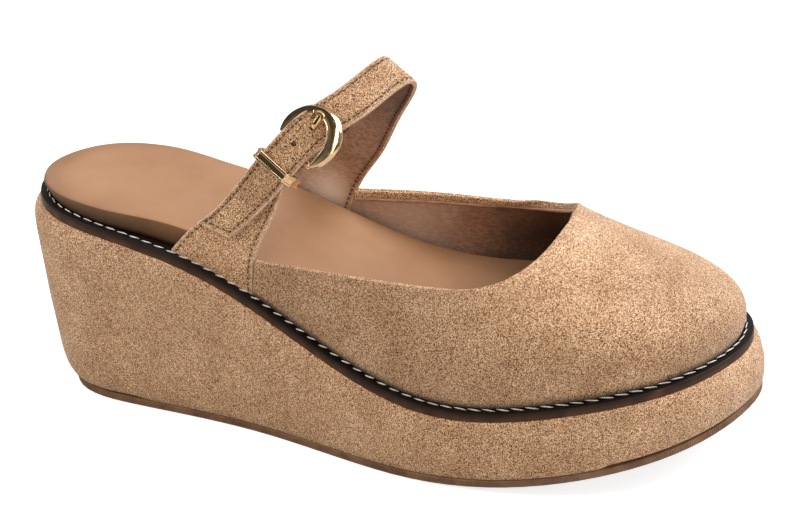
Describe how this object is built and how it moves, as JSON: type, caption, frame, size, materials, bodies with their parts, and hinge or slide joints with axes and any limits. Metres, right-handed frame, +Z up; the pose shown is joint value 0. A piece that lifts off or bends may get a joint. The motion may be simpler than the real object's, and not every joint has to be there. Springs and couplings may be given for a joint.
{
  "type": "wedge shoe",
  "caption": "Right-foot platform wedge shoe with a closed rounded toe, open back, stitched welt, padded footbed and a buckled strap over the instep.",
  "frame": {"origin": "middle of the shoe's footprint, on the floor", "axes": "+X from heel to toe, +Y from the lateral (buckle) side to the medial side, +Z up"},
  "size_m": [0.2518, 0.0984, 0.1213],
  "materials": {
    "suede": "napped",
    "insole": "smooth",
    "welt": "satin",
    "tread": "matte",
    "gold": "polished"
  },
  "bodies": {
    "root": {"outsole": "tread", "wedge": "suede", "welt": "welt", "footbed": "insole", "upper": "suede", "strap_base": "suede", "strap": "suede", "buckle_frame": "gold", "buckle_prong": "gold", "keeper": "gold"}
  },
  "joints": []
}
